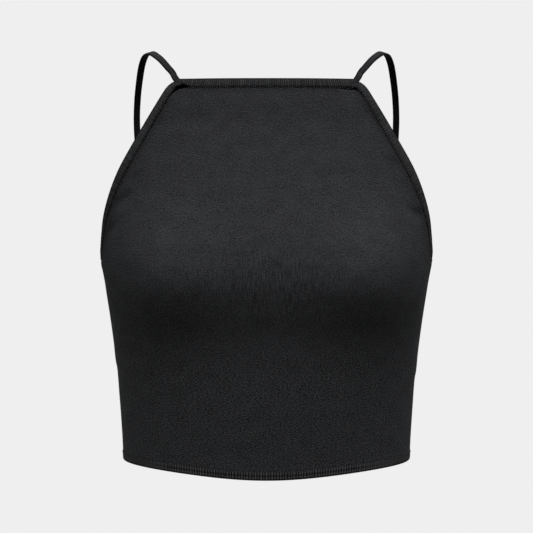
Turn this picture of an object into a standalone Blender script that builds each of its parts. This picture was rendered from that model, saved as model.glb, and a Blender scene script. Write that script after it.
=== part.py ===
"""A cropped tank top in fine stretch jersey, standing open as it is worn.

Its cloth is a thin wall around a hollow trunk form. The front rises to a straight neckline, the back
to a straight edge at underarm height, and two narrow straps join them over the shoulders.

The frame is in metres with +Z up. The front faces -Y, and the wearer's left side is at +X. The origin
is midway between the two straps, level with the top of their arch. Heights are given as drops below it.
"""
import math
from collections import namedtuple

import bmesh
import bpy
import numpy as np
from mathutils import Vector

# ---- driving dimensions, in metres and degrees --------------------------------------------------

CLOTH = 0.0014               # wall of the jersey panels
SEAM_GAP = 0.0003            # space left between two pieces that are sewn together

BAND_WIDTH = 0.0070          # folded band that binds the neckline, armholes and back edge
BAND_THICKNESS = 0.0024
BAND_PROUD = 0.0005          # how far a band's face stands out from the panels

HEM_WIDTH = 0.0070
HEM_THICKNESS = 0.0026
HEM_PROUD = 0.0006
HEM_DROP = 0.3744            # lower edge at the sides and back
HEM_DIP = 0.0082             # how much lower the edge hangs at the centre front
HEM_DIP_POWER = 3.0          # a higher power keeps the dip nearer the centre

NECK_SEAM_DROP = 0.0422
CORNER_ROUNDING = 0.0120     # height over which the neck seam turns into the armhole seam

STRAP_FRONT_WIDTH = 0.0052   # stretched narrower where it pulls at the neck corner
STRAP_BACK_WIDTH = 0.0062
STRAP_THICKNESS = 0.0022
STRAP_SEAM_ANGLE = 41.0      # where the strap's centre line meets the neck seam
STRAP_TOP_ANGLE = 43.9       # where it crosses the upper edge of the neck band
STRAP_SIDE_ROOM = 1.80       # half the notch between the bands that holds the strap, in degrees
STRAP_LEAN = 43.0            # the strap leans outwards by this where it leaves the neck seam,
STRAP_END_ROOM = 0.0005      # and its end is cut level, this far above the seam
STRAP_LANDING_ANGLE = 121.5  # where it goes down behind the back band
STRAP_LANDING_DROPS = (0.1560, 0.1650, 0.1728)

SIDE_ANGLE = 90.0            # the side seams
SIDE_GAP_ANGLE = 0.06        # half a seam gap, as an angle at the side of the trunk

BUST_FULLNESS = 0.0115       # extra depth of the front over each bust point
BUST_POINT_OUT = 0.095
BUST_POINT_DROP = 0.217
BUST_SPREAD = 0.045
BUST_RISE = 0.052            # the fullness fades slowly upwards and quickly downwards
BUST_FALL = 0.0435

# Level sections through the trunk, from the top down. Each is an oval whose front and back halves
# have their own depth and squareness (2 is an ellipse, and more is squarer).
Section = namedtuple("Section", "drop half_width front back front_square back_square")
SECTIONS = (
    Section(0.020, 0.1685, 0.0815, 0.0930, 2.45, 2.50),
    Section(0.045, 0.1670, 0.0905, 0.1000, 2.45, 2.50),
    Section(0.075, 0.1640, 0.0945, 0.1045, 2.45, 2.50),
    Section(0.105, 0.1605, 0.1002, 0.1060, 2.45, 2.50),
    Section(0.135, 0.1570, 0.1065, 0.1050, 2.45, 2.45),
    Section(0.160, 0.1545, 0.1123, 0.1020, 2.45, 2.40),
    Section(0.180, 0.1525, 0.1166, 0.0990, 2.45, 2.35),
    Section(0.198, 0.1506, 0.1193, 0.0960, 2.42, 2.35),
    Section(0.216, 0.1477, 0.1195, 0.0930, 2.40, 2.35),
    Section(0.236, 0.1446, 0.1159, 0.0900, 2.35, 2.35),
    Section(0.258, 0.1416, 0.1103, 0.0870, 2.30, 2.35),
    Section(0.285, 0.1383, 0.1068, 0.0845, 2.28, 2.35),
    Section(0.320, 0.1350, 0.1042, 0.0825, 2.25, 2.35),
    Section(0.355, 0.1326, 0.1013, 0.0815, 2.25, 2.35),
    Section(0.385, 0.1312, 0.0990, 0.0815, 2.25, 2.35),
)

# Cut lines, as the angle round the trunk from the centre front and the drop there.
CutPoint = namedtuple("CutPoint", "angle drop")
ARMHOLE_SEAM = (             # starts above the neck corner, which rounds it off
    CutPoint(40.0, 0.0190),
    CutPoint(44.0, 0.0428),
    CutPoint(50.4, 0.0736),
    CutPoint(55.5, 0.0997),
    CutPoint(60.1, 0.1204),
    CutPoint(64.6, 0.1406),
    CutPoint(68.6, 0.1579),
    CutPoint(72.1, 0.1740),
    CutPoint(75.2, 0.1838),
    CutPoint(79.7, 0.1902),
    CutPoint(85.2, 0.1928),
    CutPoint(90.0, 0.1935),
)
BACK_SEAM = (
    CutPoint(90.0, 0.1935),
    CutPoint(98.0, 0.1915),
    CutPoint(106.0, 0.1865),
    CutPoint(114.0, 0.1800),
    CutPoint(122.0, 0.1752),
    CutPoint(132.0, 0.1735),
    CutPoint(150.0, 0.1740),
    CutPoint(180.0, 0.1750),
)

# Centre line of a strap between the neck corner and the back: distances out from the centre,
# back from the side seams' plane and up from the origin.
StrapPoint = namedtuple("StrapPoint", "out back up")
STRAP_ROUTE = (
    StrapPoint(0.0816, -0.0765, -0.0297),
    StrapPoint(0.0872, -0.0660, -0.0223),
    StrapPoint(0.0944, -0.0490, -0.0133),
    StrapPoint(0.1006, -0.0310, -0.0069),
    StrapPoint(0.1043, -0.0150, -0.0032),
    StrapPoint(0.1082, 0.0000, -0.0008),
    StrapPoint(0.1131, 0.0160, -0.0010),
    StrapPoint(0.1176, 0.0330, -0.0065),
    StrapPoint(0.1216, 0.0500, -0.0195),
    StrapPoint(0.1247, 0.0635, -0.0370),
    StrapPoint(0.1261, 0.0720, -0.0555),
    StrapPoint(0.1258, 0.0765, -0.0730),
    StrapPoint(0.1240, 0.0775, -0.0980),
    StrapPoint(0.1210, 0.0750, -0.1300),
)
SHOULDER_SLOPE = 19.0        # how far a strap's flat face leans outwards at the top of its arch
STRAP_SAMPLES = 44

PROBE_ANGLE = 0.05           # small steps for slopes on the trunk's surface
PROBE_DROP = 0.0002

# ---- the trunk's surface ------------------------------------------------------------------------


def smooth_read(places, values, place):
    """Read a table along a smooth curve through its rows (values may hold several columns)."""
    slopes = np.gradient(values, places, axis=0)
    row = int(np.clip(np.searchsorted(places, place) - 1, 0, len(places) - 2))
    step = places[row + 1] - places[row]
    t = (place - places[row]) / step
    return (
        (1 + 2 * t) * (1 - t) ** 2 * values[row]
        + t * (1 - t) ** 2 * step * slopes[row]
        + t * t * (3 - 2 * t) * values[row + 1]
        + t * t * (t - 1) * step * slopes[row + 1]
    )


SECTION_ROWS = np.array(SECTIONS)


def bust(x, drop):
    """Extra depth of the front at a distance x from the centre."""
    fade = BUST_RISE if drop < BUST_POINT_DROP else BUST_FALL
    level = math.exp(-(((drop - BUST_POINT_DROP) / fade) ** 2))
    left = math.exp(-(((x - BUST_POINT_OUT) / BUST_SPREAD) ** 2))
    right = math.exp(-(((x + BUST_POINT_OUT) / BUST_SPREAD) ** 2))
    return BUST_FULLNESS * level * (left + right)


def skin(angle, drop):
    """Point on the outside of the cloth; 0 degrees is the centre front and +90 the left side seam."""
    drop_, half_width, front, back, front_square, back_square = smooth_read(
        SECTION_ROWS[:, 0], SECTION_ROWS, drop
    )
    sine, cosine = math.sin(math.radians(angle)), math.cos(math.radians(angle))
    depth, square = (front, front_square) if cosine > 0 else (back, back_square)
    radius = ((abs(sine) / half_width) ** square + (abs(cosine) / depth) ** square) ** (-1 / square)
    x, y = radius * sine, -radius * cosine
    if cosine > 0:
        y -= bust(x, drop) * min(1.0, 3 * cosine)
    return Vector((x, y, -drop))


def skin_slopes(angle, drop):
    """How the skin moves for a degree of angle, and for a metre upwards."""
    across = skin(angle + PROBE_ANGLE, drop) - skin(angle - PROBE_ANGLE, drop)
    upward = skin(angle, drop - PROBE_DROP) - skin(angle, drop + PROBE_DROP)
    return across / (2 * PROBE_ANGLE), upward / (2 * PROBE_DROP)


def skin_normal(angle, drop):
    across, upward = skin_slopes(angle, drop)
    return across.cross(upward).normalized()


def lifted(angle, drop, lift):
    """Point at a height above the skin, or below it where lift is negative."""
    return skin(angle, drop) + skin_normal(angle, drop) * lift


def step_on_skin(angle, drop, direction, distance):
    """Angle and drop of the place a distance away on the skin, in a 3-D direction."""
    across, upward = skin_slopes(angle, drop)
    aa, au, uu = across.dot(across), across.dot(upward), upward.dot(upward)
    pa, pu = direction.dot(across) * distance, direction.dot(upward) * distance
    area = aa * uu - au * au
    return angle + (pa * uu - pu * au) / area, drop - (pu * aa - pa * au) / area


# ---- cut lines ----------------------------------------------------------------------------------

ARMHOLE_ROWS = np.array(ARMHOLE_SEAM)
BACK_ROWS = np.array(BACK_SEAM)


def front_seam_drop(angle):
    """Upper edge of the front panel: the neck seam, a rounded corner and the armhole seam."""
    side = abs(angle)
    if side < ARMHOLE_SEAM[0].angle:
        return NECK_SEAM_DROP
    armhole = smooth_read(ARMHOLE_ROWS[:, 0], ARMHOLE_ROWS[:, 1], side)
    overlap = max(CORNER_ROUNDING - abs(armhole - NECK_SEAM_DROP), 0.0) / CORNER_ROUNDING
    return max(armhole, NECK_SEAM_DROP) + overlap * overlap * CORNER_ROUNDING / 4


def back_seam_drop(angle):
    """Upper edge of the back panel, for angles from 90 to 270 degrees."""
    return smooth_read(BACK_ROWS[:, 0], BACK_ROWS[:, 1], 180 - abs(angle - 180))


def hem_edge_drop(angle):
    """Lower edge of the garment, which dips a little at the centre front."""
    return HEM_DROP + HEM_DIP * max(0.0, math.cos(math.radians(angle))) ** HEM_DIP_POWER


def hem_seam_drop(angle):
    return hem_edge_drop(angle) - HEM_WIDTH


def band_edge(angle, seam_drop, reach):
    """Place on the skin at a distance outside a seam, square to it; returns angle and drop."""
    ahead = skin(angle + PROBE_ANGLE, seam_drop(angle + PROBE_ANGLE))
    behind = skin(angle - PROBE_ANGLE, seam_drop(angle - PROBE_ANGLE))
    along = (ahead - behind).normalized()
    outward = skin_normal(angle, seam_drop(angle)).cross(along)
    return step_on_skin(angle, seam_drop(angle), outward, reach)


def strap_axis_angle(drop):
    """Angle of the strap's centre line where it lies in the notch between the bands."""
    top_drop = NECK_SEAM_DROP - BAND_WIDTH
    share = (NECK_SEAM_DROP - drop) / (NECK_SEAM_DROP - top_drop)
    return STRAP_SEAM_ANGLE + share * (STRAP_TOP_ANGLE - STRAP_SEAM_ANGLE)


# ---- making a piece -----------------------------------------------------------------------------


def collection(name):
    made = bpy.data.collections.new(name)
    bpy.context.scene.collection.children.link(made)
    return made


def fabric(name, colour, roughness):
    material = bpy.data.materials.new(name)
    material.use_nodes = True
    shader = material.node_tree.nodes["Principled BSDF"]
    shader.inputs["Base Color"].default_value = (*colour, 1.0)
    shader.inputs["Roughness"].default_value = roughness
    shader.inputs["Metallic"].default_value = 0.0
    return material


def cloth_piece(name, place, columns, rows, thickness, material):
    """A sheet of cloth: a grid laid where place(column, row) says, thickened inwards."""
    mesh = bpy.data.meshes.new(name)
    sheet = bmesh.new()
    bmesh.ops.create_grid(sheet, x_segments=columns, y_segments=rows, size=1.0)
    for vert in sheet.verts:
        column = round((vert.co.x + 1) / 2 * columns)
        row = round((vert.co.y + 1) / 2 * rows)
        vert.co = place(column, row)
    sheet.to_mesh(mesh)
    sheet.free()
    mesh.shade_smooth()
    mesh.materials.append(material)
    piece = bpy.data.objects.new(name, mesh)
    garment.objects.link(piece)
    wall = piece.modifiers.new("Wall", "SOLIDIFY")
    wall.thickness = thickness
    wall.offset = -1.0
    wall.use_even_offset = True
    wall.use_quality_normals = True
    return piece


def stations(*stretches):
    """Angles along an edge, from stretches of (start, end, number of steps)."""
    angles = [stretches[0][0]]
    for start, end, steps in stretches:
        angles += [start + (end - start) * step / steps for step in range(1, steps + 1)]
    return angles


# ---- panels -------------------------------------------------------------------------------------


def armhole_stations():
    """Angles along the front armhole that the panel and its band share, from the strap to the side."""
    start = strap_axis_angle(NECK_SEAM_DROP) + STRAP_SIDE_ROOM
    return stations((start, 48, 3), (48, 72, 6), (72, SIDE_ANGLE - SIDE_GAP_ANGLE, 6))


def neck_stations():
    """Angles along the neck seam that the panel and its band share."""
    end = strap_axis_angle(NECK_SEAM_DROP) - STRAP_SIDE_ROOM
    return stations((-end, end, 12))


def make_front_panel(material):
    armhole = armhole_stations()
    angles = [-angle for angle in reversed(armhole)] + neck_stations() + armhole
    rows = 18

    def place(column, row):
        angle = angles[column]
        top = front_seam_drop(angle) + SEAM_GAP / 2
        bottom = hem_seam_drop(angle) - SEAM_GAP / 2
        return skin(angle, bottom + (top - bottom) * row / rows)

    return cloth_piece("front_panel", place, len(angles) - 1, rows, CLOTH, material)


def make_back_panel(material):
    first = SIDE_ANGLE + SIDE_GAP_ANGLE
    angles = stations((first, 360 - first, 32))
    rows = 10

    def place(column, row):
        angle = angles[column]
        top = back_seam_drop(angle) + SEAM_GAP / 2
        bottom = hem_seam_drop(angle) - SEAM_GAP / 2
        return skin(angle, bottom + (top - bottom) * row / rows)

    return cloth_piece("back_panel", place, len(angles) - 1, rows, CLOTH, material)


# ---- bands --------------------------------------------------------------------------------------


def make_neck_band(material):
    """Straight band along the neckline, its ends cut along the straps."""
    angles = neck_stations()
    rows = 2

    def place(column, row):
        side = angles[column] / angles[-1]
        low = front_seam_drop(angles[column]) - SEAM_GAP / 2
        high = NECK_SEAM_DROP - SEAM_GAP / 2 - BAND_WIDTH
        drop = low + (high - low) * row / rows
        angle = side * (strap_axis_angle(drop) - STRAP_SIDE_ROOM)
        return lifted(angle, drop, BAND_PROUD)

    return cloth_piece("neck_band", place, len(angles) - 1, rows, BAND_THICKNESS, material)


def make_armhole_band(side_name, side, material):
    """Band from the neck corner down the front armhole to the side seam."""
    cut_drop = NECK_SEAM_DROP - BAND_WIDTH + 0.0020
    cut_end = (strap_axis_angle(cut_drop) + STRAP_SIDE_ROOM, cut_drop)
    angles = armhole_stations()
    rows = 2

    def place(column, row):
        angle = angles[column]
        near = band_edge(angle, front_seam_drop, SEAM_GAP / 2)
        far = band_edge(angle, front_seam_drop, SEAM_GAP / 2 + BAND_WIDTH)
        pull = max(0.0, 1 - (angle - angles[0]) / 4) ** 2
        far = tuple(f + (end - f) * pull for f, end in zip(far, cut_end))
        at_angle, drop = (n + (f - n) * row / rows for n, f in zip(near, far))
        at_angle = min(at_angle, SIDE_ANGLE - SIDE_GAP_ANGLE)
        point = lifted(at_angle, drop, BAND_PROUD)
        point.x *= side
        return point

    def mirrored(column, row):
        return place(len(angles) - 1 - column, row)

    order = place if side > 0 else mirrored
    name = "armhole_band_" + side_name
    return cloth_piece(name, order, len(angles) - 1, rows, BAND_THICKNESS, material)


def make_back_band(material):
    """Band along the back's upper edge, from side seam to side seam."""
    first = SIDE_ANGLE + SIDE_GAP_ANGLE
    angles = stations((first, 130, 10), (130, 230, 16), (230, 360 - first, 10))
    rows = 2

    def place(column, row):
        reach = SEAM_GAP / 2 + BAND_WIDTH * row / rows
        angle, drop = band_edge(angles[column], back_seam_drop, reach)
        angle = min(max(angle, first), 360 - first)
        return lifted(angle, drop, BAND_PROUD)

    return cloth_piece("back_band", place, len(angles) - 1, rows, BAND_THICKNESS, material)


# ---- hem ----------------------------------------------------------------------------------------


def make_hem(name, first, last, columns, material):
    angles = stations((first, last, columns))

    def place(column, row):
        angle = angles[column]
        low = hem_edge_drop(angle)
        high = hem_seam_drop(angle) + SEAM_GAP / 2
        return lifted(angle, low + (high - low) * row, HEM_PROUD)

    return cloth_piece(name, place, columns, 1, HEM_THICKNESS, material)


# ---- straps -------------------------------------------------------------------------------------


def strap_centre_line():
    """Points of the left strap's centre line, from the neck seam to behind the back band."""
    sunk = BAND_PROUD - STRAP_THICKNESS / 2
    tail = STRAP_FRONT_WIDTH / 2 * math.sin(math.radians(STRAP_LEAN))
    lowest = NECK_SEAM_DROP - STRAP_END_ROOM + tail
    start_drops = [lowest - BAND_WIDTH * share for share in (0, 0.4, 0.8, 1.2)]
    start = [lifted(strap_axis_angle(drop), drop, sunk) for drop in start_drops]
    behind = BAND_PROUD - BAND_THICKNESS - SEAM_GAP - STRAP_THICKNESS / 2
    end = [lifted(STRAP_LANDING_ANGLE, drop, behind) for drop in STRAP_LANDING_DROPS]
    middle = [Vector((point.out, point.back, point.up)) for point in STRAP_ROUTE]
    return start + middle + end


def make_strap(side_name, side, material):
    """Flat ribbon over the shoulder, from the neck corner to behind the back band."""
    route = np.array([tuple(point) for point in strap_centre_line()])
    lengths = np.concatenate(([0], np.cumsum(np.linalg.norm(np.diff(route, axis=0), axis=1))))
    total = lengths[-1]
    slope = math.radians(SHOULDER_SLOPE)
    faces = (
        skin_normal(STRAP_SEAM_ANGLE, NECK_SEAM_DROP),
        Vector((math.sin(slope), 0, math.cos(slope))),
        skin_normal(STRAP_LANDING_ANGLE, STRAP_LANDING_DROPS[0]),
    )
    top_at = lengths[int(np.argmax(route[:, 2]))]

    def facing(at):
        """Which way the ribbon's outer face looks: turned over the shoulder in two eased steps."""
        if at < top_at:
            low, high, share = faces[0], faces[1], at / top_at
        else:
            low, high, share = faces[1], faces[2], (at - top_at) / (total - top_at)
        eased = share * share * (3 - 2 * share)
        return low.lerp(high, eased)

    slant = STRAP_FRONT_WIDTH * math.tan(math.radians(STRAP_LEAN))

    def place(column, row):
        first = slant * column
        at = first + (total - first) * row / STRAP_SAMPLES
        centre = Vector(smooth_read(lengths, route, at))
        before = Vector(smooth_read(lengths, route, max(at - 0.0005, 0)))
        after = Vector(smooth_read(lengths, route, min(at + 0.0005, total)))
        along = (after - before).normalized()
        across = along.cross(facing(at)).normalized()
        outer_face = across.cross(along)
        share = min(at / top_at, 1.0)
        width = STRAP_FRONT_WIDTH + (STRAP_BACK_WIDTH - STRAP_FRONT_WIDTH) * share ** 2
        point = centre + across * width * (column - 0.5) + outer_face * STRAP_THICKNESS / 2
        point.x *= side
        return point

    def mirrored(column, row):
        return place(1 - column, row)

    order = place if side > 0 else mirrored
    name = "strap_" + side_name
    return cloth_piece(name, order, 1, STRAP_SAMPLES, STRAP_THICKNESS, material)


# ---- the whole garment --------------------------------------------------------------------------

for old in list(bpy.data.objects):
    bpy.data.objects.remove(old)

garment = collection("tank_top")

JERSEY = (0.033, 0.034, 0.037)
BINDING = (0.036, 0.037, 0.040)

panel_jersey = fabric("panel_jersey", JERSEY, 0.85)
band_jersey = fabric("band_jersey", BINDING, 0.82)
hem_jersey = fabric("hem_jersey", BINDING, 0.82)
strap_jersey = fabric("strap_jersey", BINDING, 0.80)

make_front_panel(panel_jersey)
make_back_panel(panel_jersey)
make_neck_band(band_jersey)
make_back_band(band_jersey)
for side_name, side in (("left", 1), ("right", -1)):
    make_armhole_band(side_name, side, band_jersey)
    make_strap(side_name, side, strap_jersey)

FRONT_SIDE = SIDE_ANGLE - SIDE_GAP_ANGLE
BACK_SIDE = SIDE_ANGLE + SIDE_GAP_ANGLE
make_hem("front_hem", -FRONT_SIDE, FRONT_SIDE, 36, hem_jersey)
make_hem("back_hem", BACK_SIDE, 360 - BACK_SIDE, 30, hem_jersey)
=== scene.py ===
"""The looks of a cropped tank top in charcoal stretch jersey, standing hollow as it is worn.

Every piece is laid on the trunk's surface, which is the same oval sections and cut lines as the solids'.
Places on it are an angle round the trunk (0 is the centre front, +90 the left side seam, 180 the centre
back) and a drop below the origin. Lengths are in metres, angles in degrees, and +Z is up.
"""

import math
from collections import namedtuple

import bpy
import numpy as np
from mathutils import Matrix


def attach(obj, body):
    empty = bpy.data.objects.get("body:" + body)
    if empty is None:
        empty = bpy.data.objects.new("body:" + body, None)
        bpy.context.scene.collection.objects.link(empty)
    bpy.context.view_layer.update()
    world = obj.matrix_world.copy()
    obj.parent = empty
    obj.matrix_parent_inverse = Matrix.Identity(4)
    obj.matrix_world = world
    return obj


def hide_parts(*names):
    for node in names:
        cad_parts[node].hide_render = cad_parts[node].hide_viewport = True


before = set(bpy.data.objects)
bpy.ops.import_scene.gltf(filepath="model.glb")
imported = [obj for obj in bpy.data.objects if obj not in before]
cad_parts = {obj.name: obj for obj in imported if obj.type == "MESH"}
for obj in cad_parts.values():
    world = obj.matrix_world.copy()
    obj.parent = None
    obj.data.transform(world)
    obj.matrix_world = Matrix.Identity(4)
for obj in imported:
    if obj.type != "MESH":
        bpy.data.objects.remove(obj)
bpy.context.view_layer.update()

# ---- the trunk's surface and the cut, as the solids have them ----

SEAM_GAP = 0.0003
BAND_WIDTH = 0.007
BAND_THICKNESS = 0.0024
BAND_PROUD = 0.0005
HEM_WIDTH = 0.007
HEM_THICKNESS = 0.0026
HEM_PROUD = 0.0006
HEM_DROP = 0.3744
HEM_DIP = 0.0082
HEM_DIP_POWER = 3.0
NECK_SEAM_DROP = 0.0422
STRAP_FRONT_WIDTH = 0.0052
STRAP_BACK_WIDTH = 0.0062
STRAP_THICKNESS = 0.0022
STRAP_SEAM_ANGLE = 41.0
STRAP_TOP_ANGLE = 43.9
STRAP_LEAN = 43.0
STRAP_LANDING_ANGLE = 121.5
STRAP_LANDING_DROPS = (0.1560, 0.1650, 0.1728)
SHOULDER_SLOPE = 19.0
SIDE_ANGLE = 90.0
BUST_FULLNESS = 0.0115
BUST_POINT_OUT = 0.095
BUST_POINT_DROP = 0.217
BUST_SPREAD = 0.045
BUST_RISE = 0.052
BUST_FALL = 0.0435

Section = namedtuple("Section", "drop half_width front back front_square back_square")
SECTIONS = (
    Section(0.020, 0.1685, 0.0815, 0.0930, 2.45, 2.50),
    Section(0.045, 0.1670, 0.0905, 0.1000, 2.45, 2.50),
    Section(0.075, 0.1640, 0.0945, 0.1045, 2.45, 2.50),
    Section(0.105, 0.1605, 0.1002, 0.1060, 2.45, 2.50),
    Section(0.135, 0.1570, 0.1065, 0.1050, 2.45, 2.45),
    Section(0.160, 0.1545, 0.1123, 0.1020, 2.45, 2.40),
    Section(0.180, 0.1525, 0.1166, 0.0990, 2.45, 2.35),
    Section(0.198, 0.1506, 0.1193, 0.0960, 2.42, 2.35),
    Section(0.216, 0.1477, 0.1195, 0.0930, 2.40, 2.35),
    Section(0.236, 0.1446, 0.1159, 0.0900, 2.35, 2.35),
    Section(0.258, 0.1416, 0.1103, 0.0870, 2.30, 2.35),
    Section(0.285, 0.1383, 0.1068, 0.0845, 2.28, 2.35),
    Section(0.320, 0.1350, 0.1042, 0.0825, 2.25, 2.35),
    Section(0.355, 0.1326, 0.1013, 0.0815, 2.25, 2.35),
    Section(0.385, 0.1312, 0.0990, 0.0815, 2.25, 2.35),
)

Cut = namedtuple("Cut", "angle drop")
ARMHOLE_SEAM = (
    Cut(40.0, 0.0190),
    Cut(44.0, 0.0428),
    Cut(50.4, 0.0736),
    Cut(55.5, 0.0997),
    Cut(60.1, 0.1204),
    Cut(64.6, 0.1406),
    Cut(68.6, 0.1579),
    Cut(72.1, 0.1740),
    Cut(75.2, 0.1838),
    Cut(79.7, 0.1902),
    Cut(85.2, 0.1928),
    Cut(90.0, 0.1935),
)
BACK_SEAM = (
    Cut(90.0, 0.1935),
    Cut(98.0, 0.1915),
    Cut(106.0, 0.1865),
    Cut(114.0, 0.1800),
    Cut(122.0, 0.1752),
    Cut(132.0, 0.1735),
    Cut(150.0, 0.1740),
    Cut(180.0, 0.1750),
)

Place = namedtuple("Place", "out back up")
STRAP_ROUTE = (
    Place(0.0816, -0.0765, -0.0297),
    Place(0.0872, -0.0660, -0.0223),
    Place(0.0944, -0.0490, -0.0133),
    Place(0.1006, -0.0310, -0.0069),
    Place(0.1043, -0.0150, -0.0032),
    Place(0.1082, 0.0000, -0.0008),
    Place(0.1131, 0.0160, -0.0010),
    Place(0.1176, 0.0330, -0.0065),
    Place(0.1216, 0.0500, -0.0195),
    Place(0.1247, 0.0635, -0.0370),
    Place(0.1261, 0.0720, -0.0555),
    Place(0.1258, 0.0765, -0.0730),
    Place(0.1240, 0.0775, -0.0980),
    Place(0.1210, 0.0750, -0.1300),
)

# ---- sizes of the sewing ----

CLOTH = 0.0011  # the jersey itself
TUCK = 0.0022  # how far a panel's edge goes on under a band or the hem
SEAM_OVERLAP = 0.0003  # a band covers this much more of the panel than its solid does
SIDE_EDGE = SIDE_ANGLE + 0.1  # front and back pieces cross by a hair at the side seams
CORNER_ROUNDING = 0.012  # the front's upper edge turns the neck corners over this drop,
BAND_CORNER_ROUNDING = 0.006  # and the armhole bands' more sharply

NECK_RIB = 0.00188  # pitch of the ribs on each trim
ARMHOLE_RIB = 0.0018
BACK_RIB = 0.0019
HEM_RIB = 0.00239

FINE_POINTS = 1200  # points at which a line is measured
PROBE_ANGLE = 0.05  # steps over which the skin's slope is measured
PROBE_DROP = 0.0002


# ---- reading tables and the surface ----

def smooth_read(places, values, at):
    """Read a table along a smooth curve through its rows; values may hold several columns."""
    slopes = np.gradient(values, places, axis=0)
    row = np.clip(np.searchsorted(places, at) - 1, 0, len(places) - 2)
    step = places[row + 1] - places[row]
    t = (at - places[row]) / step
    if values.ndim > 1:
        step, t = step[..., None], t[..., None]
    return (
        (1 + 2 * t) * (1 - t) ** 2 * values[row]
        + t * (1 - t) ** 2 * step * slopes[row]
        + t * t * (3 - 2 * t) * values[row + 1]
        + t * t * (t - 1) * step * slopes[row + 1]
    )


def ease(share):
    """0 to 1 with a soft start and a soft end."""
    share = np.clip(share, 0.0, 1.0)
    return share * share * (3 - 2 * share)


def bump(offset, reach):
    """A soft swell, 1 high at no offset and near nothing past twice its reach."""
    return np.exp(-((offset / reach) ** 2))


def normalised(vectors):
    return vectors / np.linalg.norm(vectors, axis=-1, keepdims=True)


BUST_TO_SIDE = 3.0  # the bust's fullness fades where an angle's cosine is below 1 / this
SECTION_ROWS = np.array(SECTIONS)
ARMHOLE_ROWS = np.array(ARMHOLE_SEAM)
BACK_ROWS = np.array(BACK_SEAM)


def skin(angle, drop):
    """Points on the outside of the cloth."""
    angle, drop = np.broadcast_arrays(np.asarray(angle, float), np.asarray(drop, float))
    section = smooth_read(SECTION_ROWS[:, 0], SECTION_ROWS, drop)
    half_width, front, back, front_square, back_square = np.moveaxis(section[..., 1:], -1, 0)
    sine, cosine = np.sin(np.radians(angle)), np.cos(np.radians(angle))
    depth = np.where(cosine > 0, front, back)
    square = np.where(cosine > 0, front_square, back_square)
    radius = ((abs(sine) / half_width) ** square + (abs(cosine) / depth) ** square) ** (-1 / square)
    x, y = radius * sine, -radius * cosine
    fade = np.where(drop < BUST_POINT_DROP, BUST_RISE, BUST_FALL)
    level = bump(drop - BUST_POINT_DROP, fade)
    points = bump(x - BUST_POINT_OUT, BUST_SPREAD) + bump(x + BUST_POINT_OUT, BUST_SPREAD)
    y = y - BUST_FULLNESS * level * points * np.clip(BUST_TO_SIDE * cosine, 0, 1)
    return np.stack((x, y, -drop), axis=-1)


def skin_slopes(angle, drop):
    """How the skin moves for a degree of angle, and for a metre upwards."""
    across = skin(angle + PROBE_ANGLE, drop) - skin(angle - PROBE_ANGLE, drop)
    upward = skin(angle, drop - PROBE_DROP) - skin(angle, drop + PROBE_DROP)
    return across / (2 * PROBE_ANGLE), upward / (2 * PROBE_DROP)


def skin_normal(angle, drop):
    across, upward = skin_slopes(angle, drop)
    return normalised(np.cross(across, upward))


def lifted(angle, drop, lift):
    """Points at a height above the skin, or below it where lift is negative."""
    return skin(angle, drop) + skin_normal(angle, drop) * np.asarray(lift)[..., None]


def dot(a, b):
    return np.sum(a * b, axis=-1)


def step_on_skin(angle, drop, direction, distance):
    """Angle and drop of the place a distance away on the skin, in a 3-D direction."""
    across, upward = skin_slopes(angle, drop)
    aa, au, uu = dot(across, across), dot(across, upward), dot(upward, upward)
    pa, pu = dot(direction, across) * distance, dot(direction, upward) * distance
    area = aa * uu - au * au
    return angle + (pa * uu - pu * au) / area, drop - (pu * aa - pa * au) / area


def front_seam_drop(angle, rounding=CORNER_ROUNDING):
    """Upper edge of the front panel: the neck seam, a rounded corner and the armhole seam."""
    side = np.abs(angle)
    low = ARMHOLE_SEAM[0].angle
    armhole = smooth_read(ARMHOLE_ROWS[:, 0], ARMHOLE_ROWS[:, 1], np.maximum(side, low))
    overlap = np.maximum(rounding - np.abs(armhole - NECK_SEAM_DROP), 0.0) / rounding
    corner = np.maximum(armhole, NECK_SEAM_DROP) + overlap * overlap * rounding / 4
    return np.where(side < low, NECK_SEAM_DROP, corner)


def back_seam_drop(angle):
    """Upper edge of the back panel, for angles from 90 to 270 degrees."""
    return smooth_read(BACK_ROWS[:, 0], BACK_ROWS[:, 1], 180 - np.abs(angle - 180))


def hem_edge_drop(angle):
    facing = np.maximum(0.0, np.cos(np.radians(angle)))
    return HEM_DROP + HEM_DIP * facing ** HEM_DIP_POWER


def hem_seam_drop(angle):
    return hem_edge_drop(angle) - HEM_WIDTH


def strap_axis_angle(drop):
    """Angle of the strap's centre line where it lies between the neck and armhole bands."""
    share = (NECK_SEAM_DROP - drop) / BAND_WIDTH
    return STRAP_SEAM_ANGLE + share * (STRAP_TOP_ANGLE - STRAP_SEAM_ANGLE)


def lengths_along(steps):
    """Lengths from the start of a line, from the lengths of its steps."""
    return np.concatenate(([0.0], np.cumsum(steps)))


def even_angles(line, first, last, columns):
    """Angles at equal lengths along a line on the skin, and the lengths there."""
    fine = np.linspace(first, last, FINE_POINTS)
    lengths = lengths_along(np.linalg.norm(np.diff(skin(fine, line(fine)), axis=0), axis=1))
    even = np.linspace(0.0, lengths[-1], columns + 1)
    return np.interp(even, lengths, fine), even


def line_length(line, first, last):
    return even_angles(line, first, last, 1)[1][-1]


# ---- folds ----

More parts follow.
